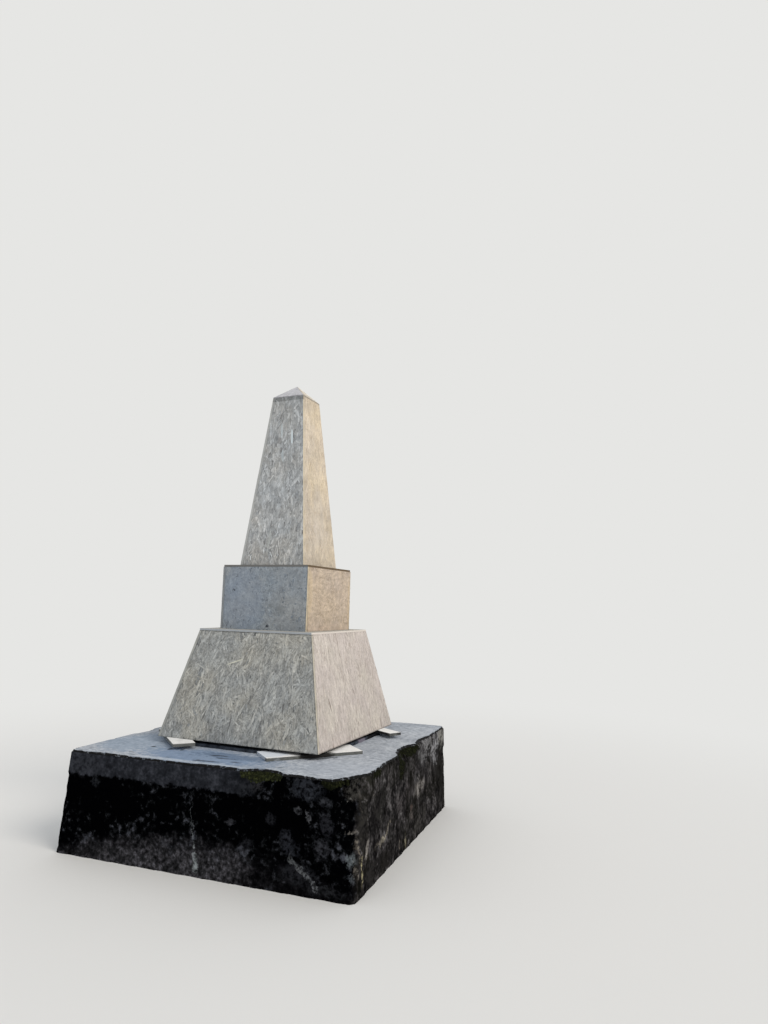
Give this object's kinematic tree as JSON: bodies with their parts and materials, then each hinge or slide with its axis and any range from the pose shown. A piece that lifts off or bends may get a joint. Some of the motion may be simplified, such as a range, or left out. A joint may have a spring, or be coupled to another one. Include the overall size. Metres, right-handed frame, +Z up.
{
  "type": "board-clad obelisk on an old block",
  "caption": "Tapering four-sided obelisk of weathered strand boards in three tiers with a pyramid cap, packed up on white boards over an old rough concrete block.",
  "frame": {"origin": "point on the tower's vertical axis at ground level, on the block's flat underside", "axes": "+Z up along the tower; -Y is the shaded front, +X the sunlit right side"},
  "size_m": [2.1674, 2.1408, 3.313],
  "materials": {
    "rough_concrete": "rough",
    "cement_screed": "matt",
    "dark_mortar": "rough",
    "white_painted_board": "matt",
    "strand_board": "weathered"
  },
  "bodies": {
    "root": {"back_packing_board": "white_painted_board", "base_block": "rough_concrete", "cap_back_board": "strand_board", "cap_front_board": "strand_board", "cap_left_board": "strand_board", "cap_right_board": "strand_board", "die_back_board": "strand_board", "die_front_board": "strand_board", "die_left_board": "strand_board", "die_lid": "strand_board", "die_right_board": "strand_board", "left_packing_board": "white_painted_board", "mortar_bed": "dark_mortar", "near_packing_board": "white_painted_board", "plinth_back_board": "strand_board", "plinth_deck": "strand_board", "plinth_front_board": "strand_board", "plinth_left_board": "strand_board", "plinth_right_board": "strand_board", "right_packing_board": "white_painted_board", "shaft_back_board": "strand_board", "shaft_front_board": "strand_board", "shaft_left_board": "strand_board", "shaft_right_board": "strand_board", "top_screed": "cement_screed"}
  },
  "joints": []
}
